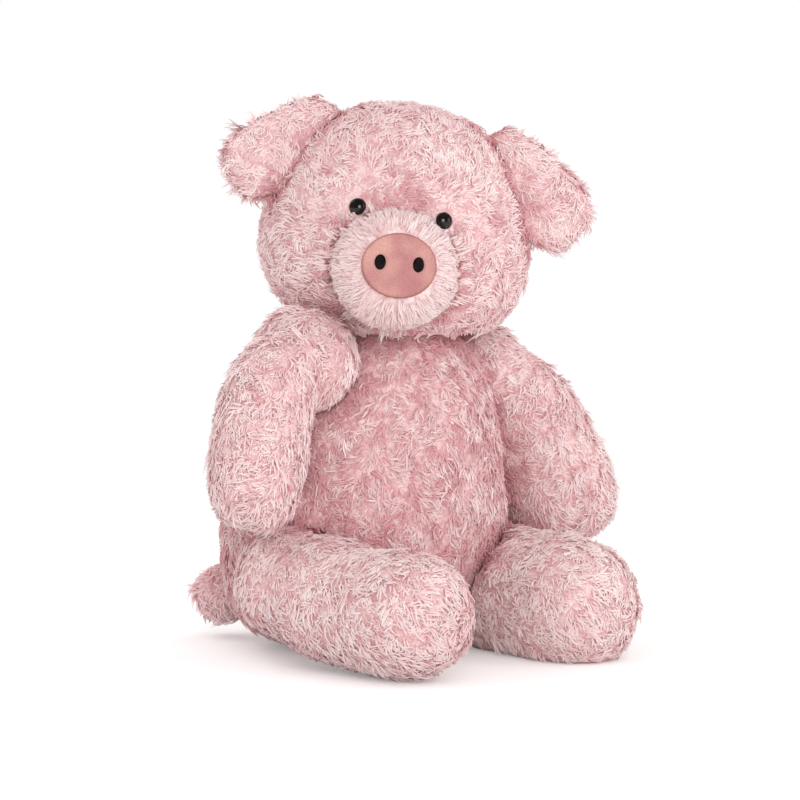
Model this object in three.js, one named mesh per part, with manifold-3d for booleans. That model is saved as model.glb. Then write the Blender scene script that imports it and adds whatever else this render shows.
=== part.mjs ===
// A seated plush pig, in millimetres, +Z up, facing -Y, with its own left hand on the +X side.
// The origin is the middle of the flat seat face, on the surface that the pig sits on.
import * as THREE from 'three';
import { mergeVertices } from 'three/addons/utils/BufferGeometryUtils.js';
import Module from 'manifold-3d';

const wasm = await Module();
wasm.setup();

// Cloth and sewing
const pileWall = 5;          // backing cloth with its curly pile, pressed together
const fineWall = 4;          // the shorter pile of muzzle and tail
const seamGap = 0.35;        // between pieces that are sewn together
const fillGap = 0.4;         // between a cover and what it holds
const seatCut = 0.5;         // how deep the seat and legs are pressed flat

// Torso
const torsoHeight = 150;
const torsoHalfWidth = 63;
const torsoHalfDepth = 59;
const torsoTaper = -0.22;
const torsoSquareness = 2.3;
const torsoLeanForward = 32;
const torsoLeanSide = 8;
const neckCut = 7;           // depth of the flat neck seam below the top of the torso
const beadBagHeight = 21;    // top of the pellet bag above the seat

// Head
const headHalfHeight = 54;
const headHalfWidth = 59.5;
const headHalfDepth = 52;
const headTaper = -0.1;
const headSquareness = 2.25;
const headSink = 7.5;        // depth of the flat neck seam in the head
const headTurn = -39.5;      // degrees, towards the pig's right
const headNod = 6;           // degrees, chin up
const headRoll = 9.5;        // degrees, towards the pig's left shoulder

// Muzzle, snout and nostrils, in the head's own frame
const muzzleHalfWidth = 27;
const muzzleHalfHeight = 26;
const muzzleReach = 70;      // from the middle of the head to the uncut front of the muzzle
const muzzleBack = 22;
const muzzleDrop = 22;
const muzzleSquareness = 2.5;
const snoutCut = 3.2;        // depth of the flat face that the snout is sewn on
const snoutHalfWidth = 15.4;
const snoutHalfHeight = 13.6;
const snoutRim = 2.4;
const snoutCrown = 1.4;
const snoutRaise = 1.6;      // the snout sits above the middle of the muzzle
const nostrilHalfWidth = 2.3;
const nostrilHalfHeight = 3.2;
const nostrilSpacing = 15.6;
const nostrilRaise = 1.4;
const nostrilDepth = 1.2;
const nostrilStand = 0.5;

// Safety eyes
const eyeRadius = 3.9;
const eyeDome = 3.1;
const eyeSeatDepth = 2;
const eyeSpacing = 38;
const eyeHeight = 1.5;
const shankRadius = 1.6;
const shankLength = 10;
const shankPoint = 1;        // length of the narrowed end of the shank
const washerRadius = 5.5;
const washerThickness = 1.2;
const eyeCloth = 2.6;        // the cloth pinched between the eye and its washer
const eyeFit = 0.3;

// Ears, in the head's own frame
const earRootOut = 34;
const earRootUp = 37;
const earRootFront = 6;
const earMid = { out: 57, front: 14, up: 27 };
const earTip = { out: 77, front: 17, up: 2 };
const earHalfWidth = 20;
const earHalfThickness = 6.5;
const earSquareness = 3;

// Arms: shoulder and elbow are measured down from the top of the torso, the hand up from the seat
const shoulder = { out: 53, front: 33, below: 26.5 };
const elbow = { out: 80, front: 39, below: 46 };
const handTip = { out: 97.5, front: 47, up: 49 };
const shoulderBall = 20;
const armBroad = 24.5;       // half sizes across the arm, whose broad side faces outwards and backwards
const armNarrow = 20;
const armTwist = 42;         // degrees, from sideways to the direction that the arm is broad in
const armTaper = 0.1;
const armSquareness = 2.5;
const armLean = 16;          // the whole upper body leans, so the right arm is this much higher
const shoulderShare = 0.6;   // shares of that lean at the shoulder and at the elbow
const elbowShare = 0.65;
const armHole = 7;
const shoulderOverlap = 6;   // how far the swelling of the arm starts behind the middle of the ball

// Legs: the left one lies flatter, under the left hand
const hip = { out: 55, front: 33 };
const footTip = { left: { out: 47, front: 127 }, right: { out: 50, front: 130 } };
const hipBall = { left: 26, right: 30 };
const legHalfWidth = { left: 29.5, right: 30 };
const legHalfHeight = { left: 28.5, right: 31 };
const legTaper = { left: 0.08, right: 0 };
const legSquareness = 2.9;
const legWaist = { left: 0.05, right: 0.12 };   // share by which the leg is thinner behind the foot
const legWaistPlace = 0.15;                     // where that is, from -1 at the hip to 1 at the toes
const legWaistLength = 0.45;
const legHole = 14;
const hipOverlap = 14;       // how far the swelling of the leg starts behind the middle of the ball

// Tail
const tailRoot = { side: -10, up: 19 };
const tailTurn = 26;         // degrees, towards the pig's right
const tailLength = 27;
const tailHalfWidth = 12;
const tailTaper = 0.25;
const tailSeam = 12;         // half height of the ring of points that the tail is sewn beside
const tailSink = 2;          // how far inside the back of the torso the tail starts
const tailHole = 2.5;

// Motion at the seams, in degrees from the pose in which the pig is built
const armRaise = [-6, 45];
const legSplay = [-6, 14];
const earFlap = [-20, 25];
const tailWag = [-25, 25];

const pinkPile = new THREE.Color(0xe6b4b4);
const palePile = new THREE.Color(0xefcfcc);
const rosePile = new THREE.Color(0xdf9c9c);
const roseSuede = new THREE.Color(0xbf7f80);
const darkThread = new THREE.Color(0x3a2423);
const blackGloss = new THREE.Color(0x0b0b0c);
const clearPlastic = new THREE.Color(0xd8dadb);
const whiteFibre = new THREE.Color(0xf3f1ee);
const linenBag = new THREE.Color(0xcfc6b8);

const sidesOfPile = 22;
const ringsOfPile = 12;
const sidesOfLimb = 16;
const ringsOfLimb = 9;
const ballSides = 20;
const insideShare = 0.65;    // facets of what lies inside a cover, against those outside
const reach = 600;           // larger than the whole pig, for half spaces
const xAxis = new THREE.Vector3(1, 0, 0);
const yAxis = new THREE.Vector3(0, 1, 0);
const zAxis = new THREE.Vector3(0, 0, 1);

function signedPower(value, power) {
  return Math.sign(value) * Math.pow(Math.abs(value), power);
}

// A point on a centreline, which runs straight on past its ends
function spinePoint(spine, place) {
  const inside = THREE.MathUtils.clamp(place, 0, 1);
  const past = (place - inside) * spine.getLength();
  return spine.getPointAt(inside).addScaledVector(spine.getTangentAt(inside), past);
}

// A stuffed form is a ring carried along a centreline. The ring grows from nothing at one pole to its
// full size and back to nothing at the other pole, by the formula of a rounded box.
function stuffedGeometry(form, inset = 0, coarse = inset > 0) {
  const rings = coarse ? Math.round(form.rings * insideShare) : form.rings;
  const sides = coarse ? 2 * Math.round(form.sides * insideShare / 2) : form.sides;
  const trim = inset / form.spine.getLength();
  const positions = [];
  const addPoint = (point) => positions.push(point.x, point.y, point.z);
  const ringPoint = (ring, side) => {
    const angle = Math.PI * ring / rings;
    const along = -signedPower(Math.cos(angle), 2 / form.squareness);
    const swell = Math.pow(Math.abs(Math.sin(angle)), 2 / form.squareness);
    const place = trim + (1 - 2 * trim) * (along + 1) / 2;
    const heading = form.spine.getTangentAt(THREE.MathUtils.clamp(place, 0, 1));
    const tangent = form.level ? zAxis : heading;
    const across = form.across.clone().addScaledVector(tangent, -form.across.dot(tangent)).normalize();
    const through = new THREE.Vector3().crossVectors(tangent, across);
    const fromWaist = (along - legWaistPlace) / legWaistLength;
    const grow = 1 + form.taper * along - (form.waist ?? 0) * Math.exp(-(fromWaist ** 2));
    const turn = 2 * Math.PI * side / sides;
    const depth = form.halfDepth * grow - inset;
    let lift = depth * swell * Math.sin(turn);
    if (form.layer) lift = form.layer * (form.layerGap / 2 + Math.max(0, form.layer * lift));
    return spinePoint(form.spine, place)
      .addScaledVector(across, (form.halfWidth * grow - inset) * swell * Math.cos(turn))
      .addScaledVector(through, lift);
  };
  addPoint(ringPoint(0, 0));
  for (let ring = 1; ring < rings; ring += 1) {
    for (let side = 0; side < sides; side += 1) addPoint(ringPoint(ring, side));
  }
  addPoint(ringPoint(rings, 0));
  const last = positions.length / 3 - 1;
  const at = (ring, side) => 1 + (ring - 1) * sides + side % sides;
  const triangles = [];
  for (let side = 0; side < sides; side += 1) {
    triangles.push(0, at(1, side + 1), at(1, side));
    triangles.push(last, at(rings - 1, side), at(rings - 1, side + 1));
    for (let ring = 1; ring < rings - 1; ring += 1) {
      triangles.push(at(ring, side), at(ring, side + 1), at(ring + 1, side));
      triangles.push(at(ring, side + 1), at(ring + 1, side + 1), at(ring + 1, side));
    }
  }
  const geometry = new THREE.BufferGeometry();
  geometry.setAttribute('position', new THREE.Float32BufferAttribute(positions, 3));
  geometry.setIndex(triangles);
  return geometry;
}

function solidOf(geometry) {
  const bare = geometry.clone();
  bare.deleteAttribute('normal');
  bare.deleteAttribute('uv');
  const merged = mergeVertices(bare, 1e-4);
  return new wasm.Manifold(new wasm.Mesh({
    numProp: 3,
    vertProperties: new Float32Array(merged.attributes.position.array),
    triVerts: new Uint32Array(merged.index.array),
  }));
}

function stuffed(form, inset = 0) {
  return solidOf(stuffedGeometry(form, inset));
}

function pieceOf(name, solid, color, roughness = 0.95, metalness = 0) {
  const mesh = solid.getMesh();
  const geometry = new THREE.BufferGeometry();
  geometry.setAttribute('position', new THREE.Float32BufferAttribute(mesh.vertProperties, 3));
  geometry.setIndex(Array.from(mesh.triVerts));
  const piece = new THREE.Mesh(geometry, new THREE.MeshStandardMaterial({ color, roughness, metalness }));
  piece.name = name;
  return piece;
}

// Takes away everything on the side of a plane that its normal points to
function cutBeyond(solid, point, normal) {
  const box = new THREE.BoxGeometry(reach, reach, reach);
  box.translate(0, 0, reach / 2);
  box.applyQuaternion(new THREE.Quaternion().setFromUnitVectors(zAxis, normal));
  box.translate(point.x, point.y, point.z);
  return solid.subtract(solidOf(box));
}

// A ball whose poles lie on the axis that it turns about. As a socket, its flat facets keep the radius.
function ballAt(point, radius, axis, { socket = false, coarse = false } = {}) {
  const sides = coarse ? 2 * Math.round(ballSides * insideShare / 2) : ballSides;
  const facetRadius = socket ? radius / Math.cos(Math.PI / sides) : radius;
  const ball = new THREE.SphereGeometry(facetRadius, sides, Math.round(sides / 2));
  ball.applyQuaternion(new THREE.Quaternion().setFromUnitVectors(yAxis, axis));
  ball.translate(point.x, point.y, point.z);
  return solidOf(ball);
}

function rodFrom(start, direction, radius, length) {
  const rod = new THREE.CylinderGeometry(radius, radius, length, 14);
  rod.translate(0, length / 2, 0);
  rod.applyQuaternion(new THREE.Quaternion().setFromUnitVectors(yAxis, direction));
  rod.translate(start.x, start.y, start.z);
  return solidOf(rod);
}

// The motion of a sewn piece about its seam, as a matrix for one angle in degrees
function turned(motion, degrees) {
  const spin = new THREE.Matrix4().makeRotationAxis(motion.axis, THREE.MathUtils.degToRad(degrees));
  const back = new THREE.Matrix4().makeTranslation(motion.pivot.x, motion.pivot.y, motion.pivot.z);
  const away = new THREE.Matrix4().makeTranslation(-motion.pivot.x, -motion.pivot.y, -motion.pivot.z);
  return back.multiply(spin).multiply(away);
}

// Cuts a sewn piece by what it is sewn to, at rest and at both ends of its motion
function clearedOf(solid, obstacleGeometry, motion) {
  return [0, motion.range[0], motion.range[1]].reduce((left, degrees) => {
    const moved = obstacleGeometry.clone().applyMatrix4(turned(motion, -degrees));
    return left.subtract(solidOf(moved));
  }, solid);
}

function curveThrough(points) {
  return new THREE.CatmullRomCurve3(points, false, 'centripetal');
}

const root = new THREE.Group();
const floor = new THREE.Vector3(0, 0, 0);
const down = new THREE.Vector3(0, 0, -1);

// Torso
const torsoTop = torsoHeight;
const neckHeight = torsoTop - neckCut;
const torsoForm = {
  spine: curveThrough([
    new THREE.Vector3(0, 0, -seatCut),
    new THREE.Vector3(torsoLeanSide * 0.9, -0.25 * torsoLeanForward, torsoHeight * 0.27),
    new THREE.Vector3(torsoLeanSide * 0.65, -0.5 * torsoLeanForward, torsoHeight * 0.55),
    new THREE.Vector3(torsoLeanSide, -torsoLeanForward, torsoTop),
  ]),
  level: true,
  across: xAxis,
  halfWidth: torsoHalfWidth,
  halfDepth: torsoHalfDepth,
  taper: torsoTaper,
  squareness: torsoSquareness,
  rings: ringsOfPile,
  sides: sidesOfPile,
};
const neckPoint = new THREE.Vector3(torsoLeanSide, -torsoLeanForward, neckHeight);

// Arms and legs
function armForm(side) {
  const rise = side < 0 ? armLean : 0;
  const shift = torsoLeanSide * 0.7;
  const twist = THREE.MathUtils.degToRad(armTwist);
  const pointOf = (place, lift) => {
    const up = place.up ?? torsoHeight - place.below;
    return new THREE.Vector3(side * place.out + shift, -place.front, up + lift);
  };
  const pivot = pointOf(shoulder, rise * shoulderShare);
  const bend = pointOf(elbow, rise * elbowShare);
  const tip = pointOf(handTip, rise);
  const start = pivot.clone().lerp(bend, -shoulderOverlap / pivot.distanceTo(bend));
  return {
    pivot,
    spine: curveThrough([start, bend, tip]),
    across: new THREE.Vector3(side * Math.cos(twist), -Math.sin(twist), 0),
    halfWidth: armBroad,
    halfDepth: armNarrow,
    taper: armTaper,
    squareness: armSquareness,
    rings: ringsOfLimb,
    sides: sidesOfLimb,
    ball: shoulderBall,
    hole: armHole,
    motion: { pivot, axis: new THREE.Vector3(0, -side, 0), range: armRaise },
  };
}

function legForm(side) {
  const word = side > 0 ? 'left' : 'right';
  const halfHeight = legHalfHeight[word];
  const hipHeight = halfHeight * (1 - legTaper[word]) - seatCut;
  const footHeight = halfHeight * (1 + legTaper[word]) - seatCut;
  const pivot = new THREE.Vector3(side * hip.out, -hip.front, hipHeight);
  const { out, front } = footTip[word];
  const tip = new THREE.Vector3(side * out, -front, footHeight);
  const start = pivot.clone().lerp(tip, -hipOverlap / pivot.distanceTo(tip));
  const waist = pivot.clone().lerp(tip, (1 + legWaistPlace) / 2);
  waist.z -= legWaist[word] * halfHeight;
  return {
    pivot,
    spine: curveThrough([start, waist, tip]),
    across: xAxis,
    halfWidth: legHalfWidth[word],
    halfDepth: halfHeight,
    taper: legTaper[word],
    waist: legWaist[word],
    squareness: legSquareness,
    rings: ringsOfLimb,
    sides: sidesOfLimb,
    ball: hipBall[word],
    hole: legHole,
    motion: { pivot, axis: new THREE.Vector3(0, 0, side), range: legSplay },
  };
}

// A limb is a ball, pressed into a dimple of the torso, and a swelling form that the torso cuts
function limbSolid(form, inset) {
  const coarse = inset > 0;
  const torso = stuffedGeometry(torsoForm, -seamGap - inset, coarse);
  const shaft = clearedOf(stuffed(form, inset), torso, form.motion);
  return shaft.add(ballAt(form.pivot, form.ball - inset, form.motion.axis, { coarse }));
}

function towardsTorso(point) {
  const inside = new THREE.Vector3(torsoLeanSide * point.z / torsoHeight, -torsoLeanForward / 2, point.z);
  return inside.sub(point).normalize();
}

function limbPieces(name, form) {
  const hole = rodFrom(form.pivot, towardsTorso(form.pivot), form.hole, form.ball + pileWall);
  const hollow = limbSolid(form, pileWall);
  const cover = cutBeyond(limbSolid(form, 0).subtract(hollow).subtract(hole), floor, down);
  const filling = limbSolid(form, pileWall + fillGap);
  root.add(pieceOf(`${name}_cover`, cover, pinkPile));
  root.add(pieceOf(`${name}_filling`, filling, whiteFibre));
}

const sides = { left: 1, right: -1 };
const limbs = [];
for (const [word, side] of Object.entries(sides)) {
  limbs.push([`arm_${word}`, armForm(side)]);
  limbs.push([`leg_${word}`, legForm(side)]);
}
for (const [name, form] of limbs) limbPieces(name, form);

function torsoPieces() {
  const neck = (solid, depth) => {
    const point = neckPoint.clone().addScaledVector(zAxis, -depth);
    return cutBeyond(solid, point, zAxis);
  };
  const dimples = (solid, extra) => limbs.reduce((left, [, form]) => {
    const radius = form.ball + seamGap + extra;
    return left.subtract(ballAt(form.pivot, radius, form.motion.axis, { socket: true }));
  }, solid);
  let cover = stuffed(torsoForm).subtract(stuffed(torsoForm, pileWall));
  cover = cutBeyond(dimples(neck(cover, 0), 0), floor, down);
  const content = dimples(neck(stuffed(torsoForm, pileWall + fillGap), fillGap), fillGap);
  const bagTop = new THREE.Vector3(0, 0, beadBagHeight);
  const fillBottom = new THREE.Vector3(0, 0, beadBagHeight + fillGap);
  root.add(pieceOf('body_cover', cover, pinkPile));
  root.add(pieceOf('body_filling', cutBeyond(content, fillBottom, down), whiteFibre));
  root.add(pieceOf('seat_bead_bag', cutBeyond(content, bagTop, zAxis), linenBag));
}
torsoPieces();

// Tail
function tailPieces() {
  const heading = new THREE.Vector3(-Math.sin(THREE.MathUtils.degToRad(tailTurn)), 1, 0).normalize();
  const back = stuffedGeometry(torsoForm).attributes.position;
  let start = new THREE.Vector3(0, -reach, 0);
  for (let index = 0; index < back.count; index += 1) {
    const point = new THREE.Vector3().fromBufferAttribute(back, index);
    if (Math.abs(point.z - tailRoot.up) < tailSeam && point.y > start.y) start = point;
  }
  const pivot = new THREE.Vector3(tailRoot.side, start.y - tailSink, tailRoot.up);
  const tip = pivot.clone().addScaledVector(heading, tailLength);
  tip.z = tailHalfWidth * (1 + tailTaper) * 0.9 + 1;
  const motion = { pivot, axis: zAxis, range: tailWag };
  const form = {
    spine: curveThrough([pivot, pivot.clone().lerp(tip, 0.5), tip]),
    across: xAxis,
    halfWidth: tailHalfWidth,
    halfDepth: tailHalfWidth,
    taper: tailTaper,
    squareness: 2.1,
    rings: 8,
    sides: 12,
  };
  const tailSolid = (inset) => clearedOf(
    stuffed(form, inset),
    stuffedGeometry(torsoForm, -seamGap - inset, inset > 0),
    motion,
  );
  const hole = rodFrom(pivot, heading, tailHole, tailLength / 2);
  root.add(pieceOf('tail_cover', tailSolid(0).subtract(tailSolid(fineWall)).subtract(hole), rosePile));
  root.add(pieceOf('tail_filling', tailSolid(fineWall + fillGap), whiteFibre));
}
tailPieces();

// Head, in a group with its own frame: -Y out of the face, +Z through the crown
const head = new THREE.Group();
head.position.set(torsoLeanSide, -torsoLeanForward, neckHeight + seamGap + headHalfHeight - headSink);
head.rotation.set(
  THREE.MathUtils.degToRad(-headNod),
  THREE.MathUtils.degToRad(headRoll),
  THREE.MathUtils.degToRad(headTurn),
  'ZXY',
);
head.updateMatrix();
root.add(head);

const headForm = {
  spine: curveThrough([new THREE.Vector3(0, 0, -headHalfHeight), new THREE.Vector3(0, 0, headHalfHeight)]),
  level: true,
  across: xAxis,
  halfWidth: headHalfWidth,
  halfDepth: headHalfDepth,
  taper: headTaper,
  squareness: headSquareness,
  rings: ringsOfPile,
  sides: sidesOfPile,
};

// The front of the head at a place seen from the front, and the outward direction there
function faceAt(x, z) {
  const along = z / headHalfHeight;
  const swell = Math.pow(1 - Math.pow(Math.abs(along), headSquareness), 1 / headSquareness);
  const grow = swell * (1 + headTaper * along);
  const y = -headHalfDepth * Math.sqrt(grow * grow - (x / headHalfWidth) ** 2);
  return new THREE.Vector3(x, y, z);
}

function outwardAt(point) {
  return new THREE.Vector3(
    point.x / headHalfWidth ** 2,
    point.y / headHalfDepth ** 2,
    point.z / headHalfHeight ** 2,
  ).normalize();
}

// The neck seam is level, so its plane is turned into the head's frame
const neckSeam = new THREE.Vector3(0, 0, headSink - headHalfHeight)
  .applyQuaternion(head.quaternion.clone().invert());
const neckDown = down.clone().applyQuaternion(head.quaternion.clone().invert());

const muzzleForm = {
  spine: curveThrough([
    new THREE.Vector3(0, -muzzleBack, -muzzleDrop),
    new THREE.Vector3(0, -muzzleReach, -muzzleDrop),
  ]),
  across: xAxis,
  halfWidth: muzzleHalfWidth,
  halfDepth: muzzleHalfHeight,
  taper: 0,
  squareness: muzzleSquareness,
  rings: 9,
  sides: 18,
};
const snoutSeat = new THREE.Vector3(0, -muzzleReach + snoutCut, -muzzleDrop);
const forward = new THREE.Vector3(0, -1, 0);

function eyeParts(side) {
  const place = faceAt(side * eyeSpacing / 2, eyeHeight);
  const outward = outwardAt(place);
  const seat = place.clone().addScaledVector(outward, -eyeSeatDepth);
  return { seat, outward };
}
const eyes = { left: eyeParts(1), right: eyeParts(-1) };

function placedAlong(geometry, point, direction) {
  geometry.applyQuaternion(new THREE.Quaternion().setFromUnitVectors(yAxis, direction));
  geometry.translate(point.x, point.y, point.z);
  return geometry;
}

function headPieces() {
  let cover = stuffed(headForm).subtract(stuffed(headForm, pileWall));
  let filling = stuffed(headForm, pileWall + fillGap);
  for (const { seat, outward } of Object.values(eyes)) {
    const inward = outward.clone().negate();
    const below = seat.clone().addScaledVector(inward, eyeCloth);
    const roomRadius = washerRadius + eyeFit * 2;
    cover = cover.subtract(rodFrom(seat, outward, eyeRadius + eyeFit, eyeRadius * 2));
    cover = cover.subtract(rodFrom(below, outward, shankRadius + eyeFit, pileWall * 2));
    cover = cover.subtract(rodFrom(below, inward, roomRadius, pileWall));
    filling = filling.subtract(rodFrom(seat, inward, roomRadius, shankLength + fillGap));
  }
  const above = neckSeam.clone().addScaledVector(neckDown, -fillGap);
  head.add(pieceOf('head_cover', cutBeyond(cover, neckSeam, neckDown), pinkPile));
  head.add(pieceOf('head_filling', cutBeyond(filling, above, neckDown), whiteFibre));
}
headPieces();

function muzzlePieces() {
  const headGrown = (gap) => stuffed(headForm, -gap);
  const outside = stuffed(muzzleForm).subtract(headGrown(seamGap));
  const hollow = stuffed(muzzleForm, fineWall);
  const cover = cutBeyond(outside.subtract(hollow), snoutSeat, forward);
  const filling = stuffed(muzzleForm, fineWall + fillGap).subtract(headGrown(seamGap + fillGap));
  const fillFront = snoutSeat.clone().addScaledVector(forward, -fillGap);
  const eyeRoom = (solid) => Object.values(eyes).reduce(
    (left, { seat, outward }) => left.subtract(rodFrom(seat, outward, eyeRadius + eyeFit, eyeRadius * 3)),
    solid,
  );
  head.add(pieceOf('muzzle_cover', eyeRoom(cover), palePile));
  head.add(pieceOf('muzzle_filling', cutBeyond(filling, fillFront, forward), whiteFibre));
}
muzzlePieces();

// An oval cushion with a flat back: a revolved outline, scaled to the oval
function ovalPad(halfWidth, halfHeight, rim, crown, segments, steps) {
  const edge = rim * 0.45;
  const points = [new THREE.Vector2(0, 0), new THREE.Vector2(halfWidth - edge * 0.3, 0)];
  for (let step = 0; step <= steps; step += 1) {
    const angle = Math.PI / 2 * step / steps;
    points.push(new THREE.Vector2(
      halfWidth - edge * (1 - Math.cos(angle)),
      rim - edge * (1 - Math.sin(angle)),
    ));
  }
  for (let step = steps - 1; step >= 0; step -= 1) {
    const radius = (halfWidth - edge) * step / steps;
    const fall = (radius / (halfWidth - edge)) ** 2;
    points.push(new THREE.Vector2(radius, rim + crown * (1 - fall)));
  }
  const pad = new THREE.LatheGeometry(points, segments);
  pad.scale(1, 1, halfHeight / halfWidth);
  return pad;
}

function snoutPieces() {
  const centre = snoutSeat.clone().addScaledVector(forward, seamGap).addScaledVector(zAxis, snoutRaise);
  let pad = solidOf(placedAlong(
    ovalPad(snoutHalfWidth, snoutHalfHeight, snoutRim, snoutCrown, 28, 3),
    centre,
    forward,
  ));
  const pocketFloor = snoutRim + snoutCrown * 0.6 - nostrilDepth;
  for (const [word, side] of Object.entries(sides)) {
    const place = new THREE.Vector3(side * nostrilSpacing / 2, 0, nostrilRaise).add(centre);
    const floorPoint = place.clone().addScaledVector(forward, pocketFloor);
    const pocket = new THREE.CylinderGeometry(1, 1, snoutRim * 2, 14);
    pocket.translate(0, snoutRim, 0);
    pocket.scale(nostrilHalfWidth + eyeFit, 1, nostrilHalfHeight + eyeFit);
    pad = pad.subtract(solidOf(placedAlong(pocket, floorPoint, forward)));
    const thread = ovalPad(nostrilHalfWidth, nostrilHalfHeight, nostrilDepth, nostrilStand, 12, 2);
    const base = floorPoint.clone().addScaledVector(forward, seamGap);
    head.add(pieceOf(`nostril_${word}`, solidOf(placedAlong(thread, base, forward)), darkThread, 0.7));
  }
  head.add(pieceOf('snout_pad', pad, roseSuede, 0.85));
}
snoutPieces();

function eyePieces() {
  for (const [word, { seat, outward }] of Object.entries(eyes)) {
    const inward = outward.clone().negate();
    const points = [new THREE.Vector2(0, -shankLength), new THREE.Vector2(shankRadius * 0.7, -shankLength)];
    points.push(new THREE.Vector2(shankRadius, -shankLength + shankPoint));
    points.push(new THREE.Vector2(shankRadius, 0));
    for (let step = 0; step <= 6; step += 1) {
      const angle = Math.PI / 2 * step / 6;
      points.push(new THREE.Vector2(eyeRadius * Math.cos(angle), eyeDome * Math.sin(angle)));
    }
    const base = seat.clone().addScaledVector(outward, eyeFit);
    const eye = solidOf(placedAlong(new THREE.LatheGeometry(points, 16), base, outward));
    head.add(pieceOf(`eye_${word}`, eye, blackGloss, 0.08));
    const washerFace = seat.clone().addScaledVector(inward, eyeCloth + eyeFit);
    const washer = rodFrom(washerFace, inward, washerRadius, washerThickness)
      .subtract(rodFrom(seat, inward, shankRadius + eyeFit, shankLength * 2));
    head.add(pieceOf(`eye_washer_${word}`, washer, clearPlastic, 0.4));
  }
}
eyePieces();

// Ears: two panels sewn together round the edge, hanging outwards and forwards from the seam
function earPieces() {
  const headGrown = stuffedGeometry(headForm, -seamGap);
  for (const [word, side] of Object.entries(sides)) {
    const pivot = new THREE.Vector3(side * earRootOut, -earRootFront, earRootUp);
    const mid = new THREE.Vector3(side * earMid.out, -earMid.front, earMid.up);
    const tip = new THREE.Vector3(side * earTip.out, -earTip.front, earTip.up);
    const spine = curveThrough([pivot, mid, tip]);
    const rootLine = new THREE.Vector3().crossVectors(spine.getTangentAt(0), yAxis).normalize();
    const motion = { pivot, axis: rootLine, range: earFlap };
    for (const [panel, layer] of [['front', side], ['back', -side]]) {
      const form = {
        spine,
        across: rootLine.clone().multiplyScalar(side),
        halfWidth: earHalfWidth,
        halfDepth: earHalfThickness,
        taper: 0.05,
        squareness: earSquareness,
        rings: 9,
        sides: 14,
        layer,
        layerGap: seamGap,
      };
      const leaf = clearedOf(stuffed(form), headGrown, motion);
      head.add(pieceOf(`ear_${word}_${panel}`, leaf, pinkPile));
    }
  }
}
earPieces();

export default root;
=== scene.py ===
import bpy
import numpy as np
from mathutils import Matrix, Vector


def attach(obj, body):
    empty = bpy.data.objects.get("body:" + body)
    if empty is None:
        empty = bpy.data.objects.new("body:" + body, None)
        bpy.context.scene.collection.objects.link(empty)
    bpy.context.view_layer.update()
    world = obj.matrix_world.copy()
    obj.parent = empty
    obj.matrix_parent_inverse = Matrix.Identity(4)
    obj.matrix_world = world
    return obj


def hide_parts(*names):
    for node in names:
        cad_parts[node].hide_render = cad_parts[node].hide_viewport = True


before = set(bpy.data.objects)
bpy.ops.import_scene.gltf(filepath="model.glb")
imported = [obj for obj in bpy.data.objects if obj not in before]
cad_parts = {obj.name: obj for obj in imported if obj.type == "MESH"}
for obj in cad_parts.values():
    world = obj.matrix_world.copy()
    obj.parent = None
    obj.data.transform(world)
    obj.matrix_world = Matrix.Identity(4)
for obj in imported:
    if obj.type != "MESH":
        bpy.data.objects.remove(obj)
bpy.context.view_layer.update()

print("stage: frame loaded")

# Camera, lights and floor

camera = {
    "turn": 42.0,        # degrees from straight in front of the chest, towards the pig's right
    "drop": 5.0,         # degrees that the lens looks down
    "distance": 2.2,
    "across": 0.02835,   # how far the lens is moved sideways and up from the middle of the seat
    "height": 0.11025,
    "lens": 220.0, "film": 36, "near": 0.05, "far": 50,
}


def placeCamera():
    turn, drop = np.radians(camera["turn"]), np.radians(camera["drop"])
    look = Vector((np.sin(turn) * np.cos(drop), np.cos(turn) * np.cos(drop), -np.sin(drop)))
    right = Vector((np.cos(turn), -np.sin(turn), 0))
    up = right.cross(look)
    place = right * camera["across"] + up * camera["height"] - look * camera["distance"]
    lens = bpy.data.cameras.new("camera")
    lens.lens, lens.sensor_width = camera["lens"], camera["film"]
    lens.clip_start, lens.clip_end = camera["near"], camera["far"]
    holder = bpy.data.objects.new("camera", lens)
    holder.matrix_world = Matrix.Translation(place) @ Matrix((right, up, -look)).transposed().to_4x4()
    bpy.context.scene.collection.objects.link(holder)
    bpy.context.scene.camera = holder


placeCamera()

white = (1.0, 1.0, 1.0, 1.0)


def fillSockets(tree, node, sockets):
    # each input takes a value, or a link from the output that is given for it
    for key, value in sockets.items():
        if isinstance(value, bpy.types.NodeSocket):
            tree.links.new(value, node.inputs[key])
        else:
            node.inputs[key].default_value = value


def addNode(tree, kind, sockets=None, **settings):
    node = tree.nodes.new("ShaderNode" + kind)
    for key, value in settings.items():
        setattr(node, key, value)
    fillSockets(tree, node, sockets or {})
    return node.outputs


def product(tree, first, second):
    return addNode(tree, "Math", {0: first, 1: second}, operation="MULTIPLY")[0]


def seenDirectly(tree):
    # 1 for camera, glossy and transmission rays, 0 for the rest
    rays = addNode(tree, "LightPath")
    seen = rays["Is Camera Ray"]
    for kind in ("Is Glossy Ray", "Is Transmission Ray"):
        seen = addNode(tree, "Math", {0: seen, 1: rays[kind]}, operation="MAXIMUM")[0]
    return seen


lighting = {
    "sky": 0.80,
    "mirrored": 0.25,    # share of the sky that shiny surfaces mirror
    "lamps": [
        {"place": (-0.80, -1.25, 0.48), "size": 0.8, "power": 8.6},
        {"place": (0.75, -1.20, 0.45), "size": 0.9, "power": 2.4},
        {"place": (-0.2, 1.1, 1.1), "size": 0.8, "power": 3.0},
    ],
    "aim": (0.0, -0.03, 0.12),
}


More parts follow.
